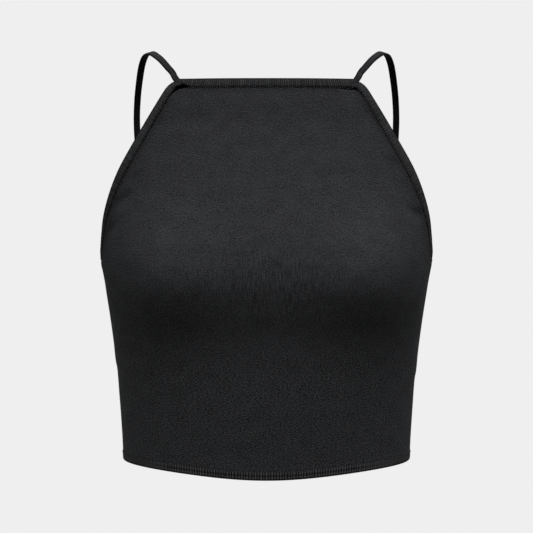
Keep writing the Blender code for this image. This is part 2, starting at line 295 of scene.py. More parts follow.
# Soft creases, from one place to another: their half width and how deep they go.
Fold = namedtuple("Fold", "angle drop to_angle to_drop reach depth")
FRONT_FOLDS = (
    Fold(-63.5, 0.1425, -52.0, 0.1275, 0.0036, 0.0010),
    Fold(-69.0, 0.1675, -59.0, 0.1560, 0.0042, 0.0011),
    Fold(-58.0, 0.1220, -50.5, 0.1130, 0.0034, 0.0005),
    Fold(66.5, 0.1520, 55.0, 0.1435, 0.0036, 0.0010),
    Fold(55.5, 0.1080, 48.0, 0.1010, 0.0040, 0.0006),
    Fold(-84.0, 0.2010, -70.0, 0.2120, 0.0045, 0.0010),
    Fold(83.0, 0.2020, 71.0, 0.2090, 0.0045, 0.0009),
    Fold(-88.0, 0.2950, -74.0, 0.2840, 0.0060, 0.0009),
    Fold(88.0, 0.3040, 76.0, 0.2960, 0.0060, 0.0009),
)
BACK_FOLDS = (
    Fold(93.0, 0.2050, 110.0, 0.2160, 0.0045, 0.0012),
    Fold(92.0, 0.2220, 104.0, 0.2350, 0.0050, 0.0009),
    Fold(268.0, 0.2040, 249.0, 0.2130, 0.0045, 0.0012),
    Fold(267.0, 0.2260, 257.0, 0.2370, 0.0050, 0.0009),
    Fold(119.0, 0.1860, 128.0, 0.2080, 0.0050, 0.0010),
    Fold(124.5, 0.1860, 140.0, 0.2010, 0.0050, 0.0008),
    Fold(240.0, 0.1860, 231.0, 0.2100, 0.0050, 0.0010),
    Fold(235.0, 0.1860, 222.0, 0.1990, 0.0050, 0.0008),
    Fold(150.0, 0.2830, 196.0, 0.2900, 0.0070, 0.0013),
    Fold(166.0, 0.3060, 214.0, 0.2990, 0.0075, 0.0012),
    Fold(132.0, 0.2950, 158.0, 0.3040, 0.0065, 0.0009),
    Fold(92.0, 0.2900, 108.0, 0.2960, 0.0060, 0.0009),
    Fold(268.0, 0.3000, 250.0, 0.2930, 0.0060, 0.0009),
)
FOLD_SAMPLES = 15
FOLD_BOW = 0.0016  # how far a crease sags below a straight line
FOLD_START = 0.25  # shares of a crease's length over which it starts and dies out
FOLD_END = 0.55
FOLD_ABOVE = 0.8  # it reaches this many half widths up its steep side,
FOLD_BELOW = 2.0  # and this many down its shallow one
SWELL_HEIGHT = 0.35  # the low swell above it, as a share of its depth,
SWELL_AWAY = 2.0  # and the swell's place and reach in half widths
SWELL_REACH = 1.5


def fold_places(fold, samples, bow):
    """Places along a crease, and their shares of its length."""
    share = np.linspace(0.0, 1.0, samples)
    angles = fold.angle + share * (fold.to_angle - fold.angle)
    drops = fold.drop + share * (fold.to_drop - fold.drop) + bow * 4 * share * (1 - share)
    return skin(angles, drops), share


def fold_lift(points, folds):
    """How far the creases move the cloth: a trough, steep above and shallow below, under a low swell."""
    lift = np.zeros(points.shape[:-1])
    for fold in folds:
        route, share = fold_places(fold, FOLD_SAMPLES, FOLD_BOW)
        gaps = np.linalg.norm(points[..., None, :] - route, axis=-1)
        nearest = np.argmin(gaps, axis=-1)
        away = np.min(gaps, axis=-1)
        along = share[nearest]
        strength = ease(np.minimum(along / FOLD_START, (1 - along) / FOLD_END))
        above = np.where(points[..., 2] > route[nearest, 2], 1.0, -1.0)
        swell = SWELL_HEIGHT * bump(away * above - SWELL_AWAY * fold.reach, SWELL_REACH * fold.reach)
        trough = bump(away, fold.reach * np.where(above > 0, FOLD_ABOVE, FOLD_BELOW))
        lift = lift + fold.depth * strength * (swell - trough)
    return lift


# ---- making meshes ----

WELD = 0.000002  # vertices closer than this are sewn together


def cloth_grid(name, columns, rows):
    """A flat grid, selected and still to be laid, and the column and row of each of its vertices."""
    bpy.ops.mesh.primitive_grid_add(x_subdivisions=columns, y_subdivisions=rows, size=2, calc_uvs=True)
    piece = bpy.context.object
    piece.name = piece.data.name = name
    flat = np.empty(3 * len(piece.data.vertices))
    piece.data.vertices.foreach_get("co", flat)
    flat = flat.reshape(-1, 3)
    column = np.rint((flat[:, 0] + 1) / 2 * columns).astype(int)
    row = np.rint((flat[:, 1] + 1) / 2 * rows).astype(int)
    return piece, column, row


def lay(piece, points, along, across):
    """Move a grid's vertices to their places and give it a UV map in metres of cloth."""
    mesh = piece.data
    mesh.vertices.foreach_set("co", points.astype(np.float32).ravel())
    corners = np.empty(len(mesh.loops), dtype=np.int32)
    mesh.loops.foreach_get("vertex_index", corners)
    cloth = np.stack((along, across), axis=-1)[corners]
    mesh.uv_layers.active.data.foreach_set("uv", cloth.astype(np.float32).ravel())
    mesh.update()


def mark(piece, name, values):
    """Keep a number at each vertex for the material to read."""
    piece.data.attributes.new(name, "FLOAT", "POINT").data.foreach_set("value", values.astype(np.float32))


def close_tube():
    """Sew the new tube's long edge and flattened ends shut, and turn its faces outwards."""
    bpy.ops.object.mode_set(mode="EDIT")
    bpy.ops.mesh.select_all(action="SELECT")
    bpy.ops.mesh.remove_doubles(threshold=WELD)
    bpy.ops.mesh.normals_make_consistent(inside=False)
    bpy.ops.object.mode_set(mode="OBJECT")
    bpy.ops.object.shade_smooth()


def thicken(piece, thickness):
    """Turn the new sheet into a thin closed wall, inwards from its surface."""
    bpy.ops.object.shade_smooth()
    wall = piece.modifiers.new("Wall", "SOLIDIFY")
    wall.thickness = thickness
    wall.offset = -1.0
    wall.use_quality_normals = True
    bpy.ops.object.modifier_apply(modifier=wall.name)


def finish_piece(piece, material, slot, *replaced):
    piece.data.materials.clear()
    piece.data.materials.append(material)
    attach(piece, "root")
    if replaced:
        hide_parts(*replaced)
    return piece


# ---- panels ----

GIRTH_DROP = 0.22  # a panel's columns are evenly spaced at this level
HEM_ROWS = 14  # so many of its rows lie close together above the hem,
HEM_ZONE = 0.012
SEAM_ROWS = 18  # and so many below its upper edge
SEAM_ZONE = 0.01
STEEPEST_SEAM = 3.0  # the upper edge counts as no steeper than this,
SLANT_COLUMNS = 9  # averaged over so many columns
CORNER_TUCK = 0.0055  # the front goes on further behind the neck corners
CORNER_ANGLE = 42.3
CORNER_SPREAD = 3.2

SEAM_SWELL = 0.0004  # the seam allowance lifts a panel's edge by this,
SEAM_SWELL_REACH = 0.005
DITCH_DEPTH = 0.0012  # then it dips beside the seam
DITCH_WIDTH = 0.0013
UNDERARM_WIDER = 2.0  # the ditch opens this much wider towards the underarm
UNDERARM_ANGLE = 77.0
UNDERARM_SPREAD = 24.0
SIDE_DITCH = 0.0005
SIDE_DITCH_WIDTH = 0.0011
RIDGE_HEIGHT = 0.0003  # pressed ridge over the turned-up allowance, above the hem
RIDGE_MIDDLE = 0.0006
RIDGE_HALF = 0.002

DITCH_DARK = 0.0008  # the seam's ditch is painted dark as shade this far from the seam, clear at twice that
SEAM_SHADE = 0.34  # how much painted shade darkens a wider strip there,
SEAM_SHADE_REACH = 0.0045
SIDE_SHADE = 0.3  # at the side seams
HEM_SHADE = 0.28  # and in a line above the hem
HEM_SHADE_MIDDLE = 0.0016
HEM_SHADE_HALF = 0.0008
PULL_DARK = 0.0011  # cloth drawn in by this is painted quite dark, as shade in that recess

SLACK_DROP = 0.23  # the jersey hangs slack from here down
SLACK_REACH = 0.07
STRETCH_DROP = 0.212  # the wales show where the front is pulled tight over the bust
STRETCH_RISE = 0.03
STRETCH_OUT = 0.075

# Short folds where the front is drawn in deep under a neck corner.
CORNER_PULLS = (
    Fold(-43.8, 0.0443, -39.4, 0.0388, 0.0014, 0.0040),
    Fold(42.6, 0.0434, 37.4, 0.0425, 0.0013, 0.0026),
)
PULL_SAMPLES = 9


def from_front(angle):
    """Degrees from the centre front, on either side."""
    return 180 - np.abs(np.abs(angle) - 180)


def level_line(drop):
    """The line round the trunk at one drop."""
    return lambda angle: 0.0 * angle + drop


def drawn_in(points, pulls):
    """How deep the pulls draw the cloth in at these points."""
    sink = np.zeros(len(points))
    for pull in pulls:
        route, _ = fold_places(pull, PULL_SAMPLES, 0.0)
        away = np.min(np.linalg.norm(points[:, None] - route, axis=-1), axis=-1)
        sink = sink + pull.depth * bump(away, pull.reach)
    return sink


def panel(name, seam, folds, pulls, middle, columns, rows):
    """A cut panel centred on an angle, from the hem up to its seam, its edges drawn in under the trims."""
    first, last = middle - SIDE_EDGE, middle + SIDE_EDGE
    angles, girth = even_angles(level_line(GIRTH_DROP), first, last, columns)
    top = seam(angles) - TUCK - CORNER_TUCK * bump(np.abs(angles) - CORNER_ANGLE, CORNER_SPREAD)
    bottom = hem_seam_drop(angles) + TUCK
    steepness = np.minimum(np.abs(np.gradient(seam(angles), girth)), STEEPEST_SEAM)
    padded = np.pad(np.sqrt(1 + steepness ** 2), SLANT_COLUMNS // 2, mode="edge")
    slant = np.convolve(padded, np.full(SLANT_COLUMNS, 1 / SLANT_COLUMNS), mode="valid")

    piece, column, row = cloth_grid(name, columns, rows)
    stops = (0, HEM_ROWS, rows - SEAM_ROWS, rows)
    stop_drops = np.stack((bottom, bottom - HEM_ZONE, top + SEAM_ZONE * slant, top), axis=-1)
    drop = np.empty(len(column))
    for c in range(columns + 1):
        own = column == c
        drop[own] = np.interp(row[own], stops, stop_drops[c])
    angle = angles[column]
    points = skin(angle, drop)

    inside = (drop - seam(angle)) / slant[column]
    above_hem = hem_seam_drop(angle) - drop
    from_side = np.minimum(girth, girth[-1] - girth)[column]
    wider = 1 + UNDERARM_WIDER * ease(1 - np.abs(from_front(angle) - UNDERARM_ANGLE) / UNDERARM_SPREAD)
    visible = (inside - SEAM_OVERLAP) / wider
    past_seam = np.maximum(visible, 0)
    sink = drawn_in(points, pulls)
    lift = SEAM_SWELL * bump(past_seam, SEAM_SWELL_REACH) - DITCH_DEPTH * ease(1 - visible / DITCH_WIDTH)
    lift = lift + RIDGE_HEIGHT * bump(above_hem - RIDGE_MIDDLE, RIDGE_HALF)
    lift = lift - SIDE_DITCH * bump(from_side, SIDE_DITCH_WIDTH)
    lift = lift - sink + fold_lift(points, folds)
    lay(piece, lifted(angle, drop, lift), girth[column] - girth[-1] / 2, -drop)

    # Painted shade: the crease mark darkens the cloth beside the seams, in their ditches, at the side seams,
    # above the hem and where the neck corners draw it in.
    shades = (
        SEAM_SHADE * bump(past_seam, SEAM_SHADE_REACH),
        ease(2 - visible / DITCH_DARK),
        SIDE_SHADE * bump(from_side, SIDE_DITCH_WIDTH),
        HEM_SHADE * bump(above_hem - HEM_SHADE_MIDDLE, HEM_SHADE_HALF),
        ease(sink / PULL_DARK),
    )
    tight = bump(drop - STRETCH_DROP, STRETCH_RISE) * bump(points[:, 0], STRETCH_OUT)
    mark(piece, "crease", np.max(shades, axis=0))
    mark(piece, "loose", ease((drop - SLACK_DROP) / SLACK_REACH))
    mark(piece, "stretch", np.where(from_front(angle) < 90, tight, 0.0))
    thicken(piece, CLOTH)
    return piece


def make_panels(material):
    front = panel(
        "front_panel_cloth", front_seam_drop, FRONT_FOLDS, CORNER_PULLS, middle=0, columns=258, rows=180,
    )
    back = panel("back_panel_cloth", back_seam_drop, BACK_FOLDS, (), middle=180, columns=250, rows=110)
    finish_piece(front, material, "body_jersey", "front_panel")
    finish_piece(back, material, "body_jersey", "back_panel")
    return front, back


# ---- bands and hem ----

RIB_COLUMNS = 6  # mesh columns to a rib
TUBE_ROWS = 28  # mesh rows round a band, strap or hem
OUTLINE_STEPS = 2400  # steps in which a section is measured
RIB_WANDER = 0.22  # how far a rib strays, as a share of the pitch
RIBS_BEFORE = 3  # ribs counted before a trim's start and past its end
RIBS_AFTER = 5
SCALLOP_FADE = 4  # how fast the ribs' scallops die out across a trim
TRIM_END_ROUND = 0.0004  # a trim's ends are rounded by this
PLAIN_LEVEL = 0.6  # how light a trim is where its rows of loops fade into smooth cloth,
PLAIN_NEAR = 0.12  # and the shares of its width over which painted shade darkens it towards its two edges
PLAIN_FAR = 0.3

# How light a trim's ribs are at shares of its width, from the seam edge to the free edge. Darkness towards
# the edges is painted shade of the seam's ditch and the rolled free edge, and the hem's dark stripes between
# its stitched rows are painted shade.
NECK_PROFILE = (
    (0.0, 0.0), (0.08, 0.35), (0.18, 0.76), (0.32, 0.84), (0.66, 0.88), (0.78, 1.0), (0.85, 0.25), (0.9, 0.0),
)
BAND_PROFILE = ((0.0, 0.6), (0.12, 0.85), (0.35, 1.0), (0.76, 1.0), (0.86, 0.30), (0.95, 0.0))
HEM_PROFILE = (
    (0.0, 0.1), (0.09, 0.2), (0.18, 0.85), (0.27, 0.85), (0.38, 0.35), (0.48, 0.2), (0.56, 0.4), (0.66, 0.86),
    (0.76, 0.86), (0.84, 0.2), (1.0, 0.0),
)

# square is how square a section is, relief how high the ribs stand, scallop how far they push the seam edge
# out, sharp how narrow they are and uneven how much their heights vary.
Trim = namedtuple("Trim", "width thickness proud square rib relief scallop sharp uneven profile seed")
NECK_TRIM = Trim(
    BAND_WIDTH, BAND_THICKNESS, BAND_PROUD, 2.8, NECK_RIB, 0.00018, 0.0008, 1.0, 0.6, NECK_PROFILE, 4,
)
BACK_TRIM = NECK_TRIM._replace(rib=BACK_RIB, relief=0.00016, profile=BAND_PROFILE, seed=27)
LEFT_ARM_TRIM = BACK_TRIM._replace(rib=ARMHOLE_RIB, scallop=0.0014, seed=12)
RIGHT_ARM_TRIM = LEFT_ARM_TRIM._replace(seed=10)
HEM_TRIM = Trim(
    HEM_WIDTH, HEM_THICKNESS, HEM_PROUD, 4.5, HEM_RIB, 0.00025, 0.0002, 1.2, 0.35, HEM_PROFILE, 9,
)

BAND_REST = 0.15  # the bands' ends meet under the strap, and overlap there by a hair
NECK_EDGE_ROUND = 0.001  # the neck band's folded edge rolls out this far past its solid's
RAISED_CORNER = 0.0042  # its seam is drawn up by this at the right neck corner,
RAISED_SPREAD = 2.4
UNEVEN_CORNER = 0.0004  # and by this near the left one
UNEVEN_ANGLE = 39.5
UNEVEN_SPREAD = 2.6
NECK_END_SLANT = 4.0  # its ends turn to the strap's slant over this angle

ARMHOLE_CUT = 0.002  # an armhole band's free edge starts this far below the neck band's,
ARMHOLE_CUT_REACH = 4.0  # and bends to there over this angle
BAND_EDGE_ROUND = 0.0018  # the free edges roll out this far past their solids',
CORNER_EDGE_ROUND = -0.0002  # but not by the neck corners
EDGE_ROUND_FROM = 45.0
EDGE_ROUND_OVER = 14.0
DRAWN_UP_REACH = 0.0065  # how far from a neck corner its seam is drawn up

# An armhole band's ribs are faint by the neck corner, stronger along the arm and strongest further out,
# where the band is darker. The two sides differ a little.
RIBS_AT_CORNER = 0.42
RIBS_ALONG_ARM = 0.26
ALONG_ARM_REACH = 0.014
OUTER_FROM = 53.0
OUTER_OVER = 8.0
ARM_LIGHT = 0.6  # how light a band is on average, whether its ribs are weak or strong
DARKER_FROM = 56.0
DARKER_OVER = 12.0
CORNER_REACH = 0.012
# corner_dark is painted shade on an armhole band by the neck corner, where the bands meet under the strap.
ArmholeLook = namedtuple("ArmholeLook", "trim drawn_up outer_ribs outer_dark corner_dark")
ARMHOLE_LOOKS = {
    "left": ArmholeLook(LEFT_ARM_TRIM, 0.0, 0.12, 0.10, 0.22),
    "right": ArmholeLook(RIGHT_ARM_TRIM, 0.0026, 0.32, 0.35, 0.05),
}
BACK_RIBS = 0.7

HEM_ROLL = 0.0003  # the hem's rounded edge stops short of its solid's,
HEM_RISE = 0.0012  # and its loops reach this far above it
RIBBED_FROM = 24.0  # the hem is plain this far round from the side seams, then ribbed
RIBBED_OVER = 26.0
PLAIN_HEM_RIBS = 0.15
PLAIN_HEM_LIGHT = 0.34
RIBBED_HEM_LIGHT = 0.92


def power(value, square):
    """Signed power that turns a circle into a squarer oval."""
    return np.sign(value) * np.abs(value) ** (2 / square)


def tube_outline(width, thickness, square):
    """Sideways and outward places, from -1 to 1, at even lengths round a trim's squared oval section."""
    turn = np.linspace(0.0, 2 * math.pi, OUTLINE_STEPS + 1)
    side, height = power(np.cos(turn), square), power(np.sin(turn), square)
    lengths = lengths_along(np.hypot(np.diff(side) * width, np.diff(height) * thickness))
    even = np.linspace(0.0, lengths[-1], TUBE_ROWS + 1)
    return np.interp(even, lengths, side), np.interp(even, lengths, height)


def rib_wave(at, total, trim):
    """0 in the grooves to 1 on the ribs, whose places and heights are a little uneven."""
    chance = np.random.default_rng(trim.seed)
    count = int(total / trim.rib) + RIBS_BEFORE + RIBS_AFTER
    places = np.arange(count) - RIBS_BEFORE + RIB_WANDER * chance.uniform(-1, 1, count)
    phase = np.interp(at / trim.rib, places, np.arange(count))
    height = 1 - trim.uneven * chance.uniform(0, 1, count)
    return height[phase.astype(int)] * (0.5 - 0.5 * np.cos(2 * math.pi * phase)) ** trim.sharp


def end_closing(length, total, rounding):
    """1 along a trim, falling to 0 at both ends as a rounded edge does."""
    near = np.clip(np.minimum(length, total - length) / rounding, 0, 1)
    return np.sqrt(np.maximum(0.0, 1 - (1 - near) ** 2))


def trim_tube(name, length, near, far, trim, strength=1.0, light=1.0, plain=0.0, lean=0.0):
    """A folded trim: a flattened tube with ribs across its face. For each column, near and far are the
    (angle, drop) of its seam edge and free edge, strength and light are how strong and how light the ribs
    are, plain is how far the rows of loops fade into smooth cloth, and lean is how far the two edges are
    moved along, which the ribs don't follow."""
    piece, column, row = cloth_grid(name, len(length) - 1, TUBE_ROWS)
    side, height = tube_outline(trim.width, trim.thickness, trim.square)
    share, height = 0.5 + 0.5 * side[row], height[row]
    strength, light, plain = [np.broadcast_to(x, length.shape)[column] for x in (strength, light, plain)]
    near_lean, far_lean = np.broadcast_to(lean, (len(length), 2))[column].T
    at = length[column] + near_lean + share * (far_lean - near_lean)
    ribs = rib_wave(at, length[-1], trim)
    share = share - trim.scallop / trim.width * ribs * strength * (1 - share) ** SCALLOP_FADE

    half = trim.thickness / 2
    face = trim.relief * ribs * strength * np.sqrt(np.clip(height, 0, 1))
    closing = end_closing(length, length[-1], TRIM_END_ROUND)[column]
    lift = trim.proud - half + (half * height + face - trim.relief) * closing
    angle = near[0][column] + share * (far[0] - near[0])[column]
    drop = near[1][column] + share * (far[1] - near[1])[column]
    girth = np.where(height >= 0, share, -share) * trim.width
    lay(piece, lifted(angle, drop, lift), length[column], girth)

    across = np.interp(share, *np.array(trim.profile).T)
    smooth = PLAIN_LEVEL * ease(share / PLAIN_NEAR) * ease((1 - share) / PLAIN_FAR)
    across = across + (smooth - across) * plain
    # The rib mark holds the trim's lightness, with painted shade in the ribs' grooves and towards its edges.
    mark(piece, "rib", (1 - strength * (1 - ribs)) * light * across)
    close_tube()
    return piece


def band_edges(angles, seam, reach):
    """Places on the skin at a distance outside a seam, square to it."""
    ahead = skin(angles + PROBE_ANGLE, seam(angles + PROBE_ANGLE))
    behind = skin(angles - PROBE_ANGLE, seam(angles - PROBE_ANGLE))
    outward = np.cross(skin_normal(angles, seam(angles)), normalised(ahead - behind))
    return step_on_skin(angles, seam(angles), outward, reach)


def paced_angles(line, first, last, pitch, steps=RIB_COLUMNS):
    """Angles and lengths of even places along a line, with some steps to a pitch."""
    return even_angles(line, first, last, steps * round(line_length(line, first, last) / pitch))


def make_neck_band(material):
    line = level_line(NECK_SEAM_DROP)
    end = STRAP_SEAM_ANGLE + BAND_REST
    angles, length = paced_angles(line, -end, end, NECK_RIB)
    low = NECK_SEAM_DROP + SEAM_OVERLAP - RAISED_CORNER * bump(angles + end, RAISED_SPREAD)
    low = low - UNEVEN_CORNER * bump(angles - UNEVEN_ANGLE, UNEVEN_SPREAD)
    high = np.full_like(low, NECK_SEAM_DROP - BAND_WIDTH - NECK_EDGE_ROUND)
    slant = np.sign(angles) * ease((np.abs(angles) - end + NECK_END_SLANT) / NECK_END_SLANT)
    near_turn = slant * (strap_axis_angle(low) - STRAP_SEAM_ANGLE)
    far_turn = slant * (strap_axis_angle(high) - STRAP_SEAM_ANGLE)
    near, far = (angles + near_turn, low), (angles + far_turn, high)
    lean = np.stack((near_turn, far_turn), axis=-1) * np.gradient(length, angles)[:, None]
    band = trim_tube("neck_band_rib", length, near, far, NECK_TRIM, lean=lean)
    return finish_piece(band, material, "band_jersey", "neck_band")


def make_armhole_band(side_name, side, material):
    def seam(angle):
        return front_seam_drop(angle, BAND_CORNER_ROUNDING)

    look = ARMHOLE_LOOKS[side_name]
    start = STRAP_SEAM_ANGLE - BAND_REST
    cut_drop = NECK_SEAM_DROP - BAND_WIDTH + ARMHOLE_CUT
    cut_end = (strap_axis_angle(cut_drop) - BAND_REST, cut_drop)
    angles, length = paced_angles(seam, start, SIDE_EDGE, ARMHOLE_RIB)
    near = band_edges(angles, seam, look.drawn_up * bump(length, DRAWN_UP_REACH) - SEAM_OVERLAP)
    along_arm = ease((angles - EDGE_ROUND_FROM) / EDGE_ROUND_OVER)
    edge_round = CORNER_EDGE_ROUND + (BAND_EDGE_ROUND - CORNER_EDGE_ROUND) * along_arm
    far = band_edges(angles, seam, BAND_WIDTH + edge_round)
    cut = np.maximum(0.0, 1 - (angles - start) / ARMHOLE_CUT_REACH) ** 2
    far = [f + (end - f) * cut for f, end in zip(far, cut_end)]
    near, far = [(np.minimum(a, SIDE_EDGE) * side, d) for a, d in (near, far)]

    strength = RIBS_AT_CORNER + RIBS_ALONG_ARM * ease(length / ALONG_ARM_REACH)
    strength = strength + look.outer_ribs * ease((angles - OUTER_FROM) / OUTER_OVER)
    light = ARM_LIGHT / (1 - strength / 2) - look.outer_dark * ease((angles - DARKER_FROM) / DARKER_OVER)
    # painted shade on the band by the neck corner
    light = light - look.corner_dark * bump(length, CORNER_REACH)
    band = trim_tube("armhole_band_rib_" + side_name, length, near, far, look.trim, strength, light)
    return finish_piece(band, material, "band_jersey", "armhole_band_" + side_name)


def make_back_band(material):
    first, last = 180 - SIDE_EDGE, 180 + SIDE_EDGE
    angles, length = paced_angles(back_seam_drop, first, last, BACK_RIB)
    near = band_edges(angles, back_seam_drop, -SEAM_OVERLAP)
    far = band_edges(angles, back_seam_drop, BAND_WIDTH + BAND_EDGE_ROUND)
    near, far = [(np.clip(a, first, last), d) for a, d in (near, far)]
    band = trim_tube("back_band_rib", length, near, far, BACK_TRIM, BACK_RIBS)
    return finish_piece(band, material, "band_jersey", "back_band")


def make_hem(node_name, middle, material):
    first, last = middle - SIDE_EDGE, middle + SIDE_EDGE
    angles, length = paced_angles(hem_seam_drop, first, last, HEM_RIB)
    near = (angles, hem_seam_drop(angles) - HEM_RISE)
    far = (angles, hem_edge_drop(angles) - HEM_ROLL)
    from_side = np.minimum(angles - first, last - angles)
    ribbed = ease((from_side - RIBBED_FROM) / RIBBED_OVER)
    strength = PLAIN_HEM_RIBS + (1 - PLAIN_HEM_RIBS) * ribbed
    light = PLAIN_HEM_LIGHT + (RIBBED_HEM_LIGHT - PLAIN_HEM_LIGHT) * ribbed
    hem = trim_tube(node_name + "_rib", length, near, far, HEM_TRIM, strength, light, 1 - ribbed)
    return finish_piece(hem, material, "hem_jersey", node_name)


# ---- straps ----

STRAP_COLUMNS = 320
STRAP_SQUARE = 5.0  # how square its section is
STRAP_END_ROOM = 0.003  # its end stops this far above the neck seam
STRAP_START = (0, 0.4, 0.8, 1.2)  # its route's first places, in band widths above its end
STRAP_ROLL = 0.0004  # its rounded edges stand out past its solid's by this,
STRAP_BACK_ROLL = 0.001  # and by this at the back
STRAP_END_TAPER = 0.004  # its ends thin out over this
STRAP_END_PROUD = 0.0002  # its sewn end lies higher over the bands by this,
STRAP_END_REACH = 0.01  # for about this length
STRAP_PROBE = 0.0005  # step over which its direction is measured
INNER_TURN = 2.5  # how sharply outside gives way to inside at its edges

STRAP_LIGHT = 0.42  # how light its loops are, how much lighter at the sewn end
SEWN_END_LIGHTER = 0.55
SEWN_END_REACH = 0.012
ARCH_DARKER = 0.3  # and how much darker it is painted over the shoulder: painted shade on its arch
ARCH_REACH = 0.035
EDGE_DARK = 0.95  # its edges are painted dark lines of shade, as on a rounded tube,
EDGE_FROM = 0.22  # starting at this share of its width from its middle and full after another,
EDGE_OVER = 0.16
EDGE_CLEAR = 0.009  # but not so near its sewn end


def strap_route():
    """The left strap's centre line, from the neck seam to behind the back band."""
    sunk = BAND_PROUD - STRAP_THICKNESS / 2
    tail = STRAP_FRONT_WIDTH / 2 * math.sin(math.radians(STRAP_LEAN))
    start_drops = NECK_SEAM_DROP - STRAP_END_ROOM + tail - BAND_WIDTH * np.array(STRAP_START)
    start = lifted(strap_axis_angle(start_drops), start_drops, sunk)
    behind = BAND_PROUD - BAND_THICKNESS - SEAM_GAP - STRAP_THICKNESS / 2
    end = lifted(STRAP_LANDING_ANGLE, np.array(STRAP_LANDING_DROPS), behind)
    return np.concatenate((start, np.array(STRAP_ROUTE), end))


def make_strap(side_name, side, material):
    route = strap_route()
    lengths = lengths_along(np.linalg.norm(np.diff(route, axis=0), axis=1))
    total = lengths[-1]
    top_at = lengths[int(np.argmax(route[:, 2]))]

    piece, column, row = cloth_grid("strap_ribbon_" + side_name, STRAP_COLUMNS, TUBE_ROWS)
    side_place, height = tube_outline(STRAP_BACK_WIDTH, STRAP_THICKNESS, STRAP_SQUARE)
    across_share, height = 0.5 * side_place[row], height[row]
    slant = STRAP_FRONT_WIDTH * math.tan(math.radians(STRAP_LEAN))
    first = slant * (across_share + 0.5)
    at = first + (total - first) * column / STRAP_COLUMNS

    before = smooth_read(lengths, route, np.maximum(at - STRAP_PROBE, 0))
    after = smooth_read(lengths, route, np.minimum(at + STRAP_PROBE, total))
    along = normalised(after - before)
    slope = math.radians(SHOULDER_SLOPE)
    neck_face = skin_normal(STRAP_SEAM_ANGLE, NECK_SEAM_DROP)
    top_face = np.array((math.sin(slope), 0.0, math.cos(slope)))
    back_face = skin_normal(STRAP_LANDING_ANGLE, STRAP_LANDING_DROPS[0])
    to_top = ease(at / top_at)[:, None]
    to_back = ease((at - top_at) / (total - top_at))[:, None]
    face = neck_face + (top_face - neck_face) * to_top + (back_face - top_face) * to_back
    across = normalised(np.cross(along, face))
    outer = np.cross(across, along)

    narrow, wide = STRAP_FRONT_WIDTH + STRAP_ROLL, STRAP_BACK_WIDTH + STRAP_BACK_ROLL
    width = narrow + (wide - narrow) * np.minimum(at / top_at, 1.0) ** 2
    closing = end_closing(column / STRAP_COLUMNS * total, total, STRAP_END_TAPER)
    lift = STRAP_END_PROUD * bump(at, STRAP_END_REACH) + STRAP_THICKNESS / 2 * height * closing
    centre = smooth_read(lengths, route, at)
    points = centre + across * (width * across_share)[:, None] + outer * lift[:, None]
    points[:, 0] *= side
    girth = np.where(height >= 0, across_share, 1 - across_share) * width
    lay(piece, points, at, girth)

    edge = ease((np.abs(across_share) - EDGE_FROM) / EDGE_OVER) * (1 - bump(at, EDGE_CLEAR))
    level = STRAP_LIGHT + SEWN_END_LIGHTER * bump(at, SEWN_END_REACH)
    level = level - ARCH_DARKER * bump(at - top_at, ARCH_REACH)
    # Painted shade: the strap's inner face is coloured darker, as it lies in shadow.
    mark(piece, "inner_face", ease(0.5 - INNER_TURN * height))
    mark(piece, "rib", level * (1 - EDGE_DARK * edge))
    close_tube()
    return finish_piece(piece, material, "strap_jersey", "strap_" + side_name)


# ---- stitches and painted seam shade ----

LEAN_WANDER = 12.0  # how far a stitch's lean strays, in degrees,
SIZE_WANDER = 0.35  # and its size, as a share

# A stitch's size, how far it leans from its row and how far it strays to its sides.
Stitch = namedtuple("Stitch", "length width height lean stray")
# Dark thread in the seams' ditches is partly real stitching and partly painted shade of the ditch; the hem's
# dark needle holes and the corner's dots are painted shade.
DITCH_STITCH_AND_SHADE = Stitch(0.0015, 0.0011, 0.0010, 24, 0.0006)
CORNER_SHADOW_DOT = Stitch(0.0011, 0.0005, 0.0006, 0, 0.0001)
HEM_NEEDLE_HOLE_SHADE = Stitch(0.0012, 0.0010, 0.0008, 8, 0.0001)

# A row of them along a seam: its angles, their pitch, and how far inside the seam and how high it lies.
Row = namedtuple("Row", "first last pitch inset lift stitch seed slot")
NECK_ROW = Row(-38.5, 41.5, 0.0013, 0.0010, 0.0002, DITCH_STITCH_AND_SHADE, 1, "band_jersey")
LEFT_ARM_ROW = Row(43.5, SIDE_ANGLE, 0.0021, 0.0010, 0.0002, DITCH_STITCH_AND_SHADE, 2, "band_jersey")
# The right armhole's row runs the other way round, so its inset is negative.
RIGHT_ARM_ROW = LEFT_ARM_ROW._replace(first=-43.5, last=-SIDE_ANGLE, inset=-0.0010)
BACK_ROW = Row(180 - SIDE_ANGLE, 180 + SIDE_ANGLE, 0.0014, 0.0011, 0.0001, DITCH_STITCH_AND_SHADE, 3, "band_jersey")
FRONT_HEM_ROW = Row(-SIDE_ANGLE, SIDE_ANGLE, HEM_RIB, 0.0, 0.0003, HEM_NEEDLE_HOLE_SHADE, 4, "hem_jersey")
BACK_HEM_ROW = FRONT_HEM_ROW._replace(first=180 - SIDE_ANGLE, last=180 + SIDE_ANGLE, seed=5)

CORNER_SHADOW_DOTS = 8  # a short second row of dark dots, down and out from the left neck corner: painted shadow in the gap there
CORNER_ROW_ANGLE = 41.9
CORNER_ROW_TURN = 3.0
CORNER_ROW_DROP = 0.0446
CORNER_ROW_FALL = 0.0061
CORNER_ROW_BEND = 1.15
CORNER_ROW_LIFT = 0.0005
CORNER_ROW_SEED = 6


